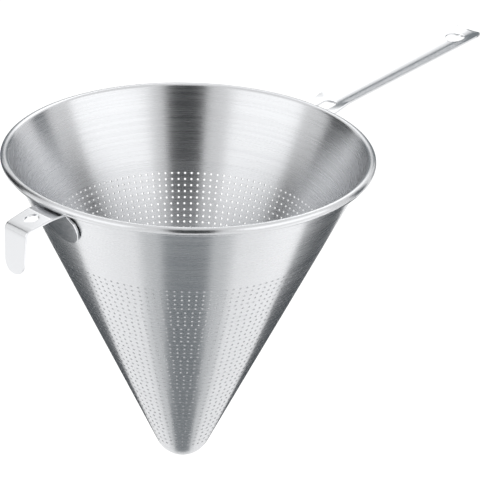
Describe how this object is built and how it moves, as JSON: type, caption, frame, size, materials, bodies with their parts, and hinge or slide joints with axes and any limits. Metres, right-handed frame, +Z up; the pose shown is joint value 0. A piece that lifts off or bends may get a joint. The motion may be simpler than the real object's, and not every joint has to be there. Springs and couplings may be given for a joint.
{
  "type": "chinois strainer",
  "caption": "Conical perforated steel strainer with a rolled wire rim, a long tray handle with a hanging hole, and a hook that rests on the edge of a pot.",
  "frame": {"origin": "on the cone's axis at the height of the rolled rim's centre, in the middle of the mouth", "axes": "+Z up out of the mouth along the cone's axis, +X along the handle, the pot hook at -X"},
  "size_m": [0.3643, 0.2, 0.2017],
  "materials": {
    "cone_steel": "fine brushed, spun and perforated sheet",
    "wire_steel": "drawn wire",
    "handle_steel": "satin polished pressed sheet",
    "hook_steel": "satin polished bent strip"
  },
  "bodies": {
    "root": {"perforated_cone": "cone_steel", "rim_wire": "wire_steel", "handle": "handle_steel", "pot_hook": "hook_steel"}
  },
  "joints": []
}
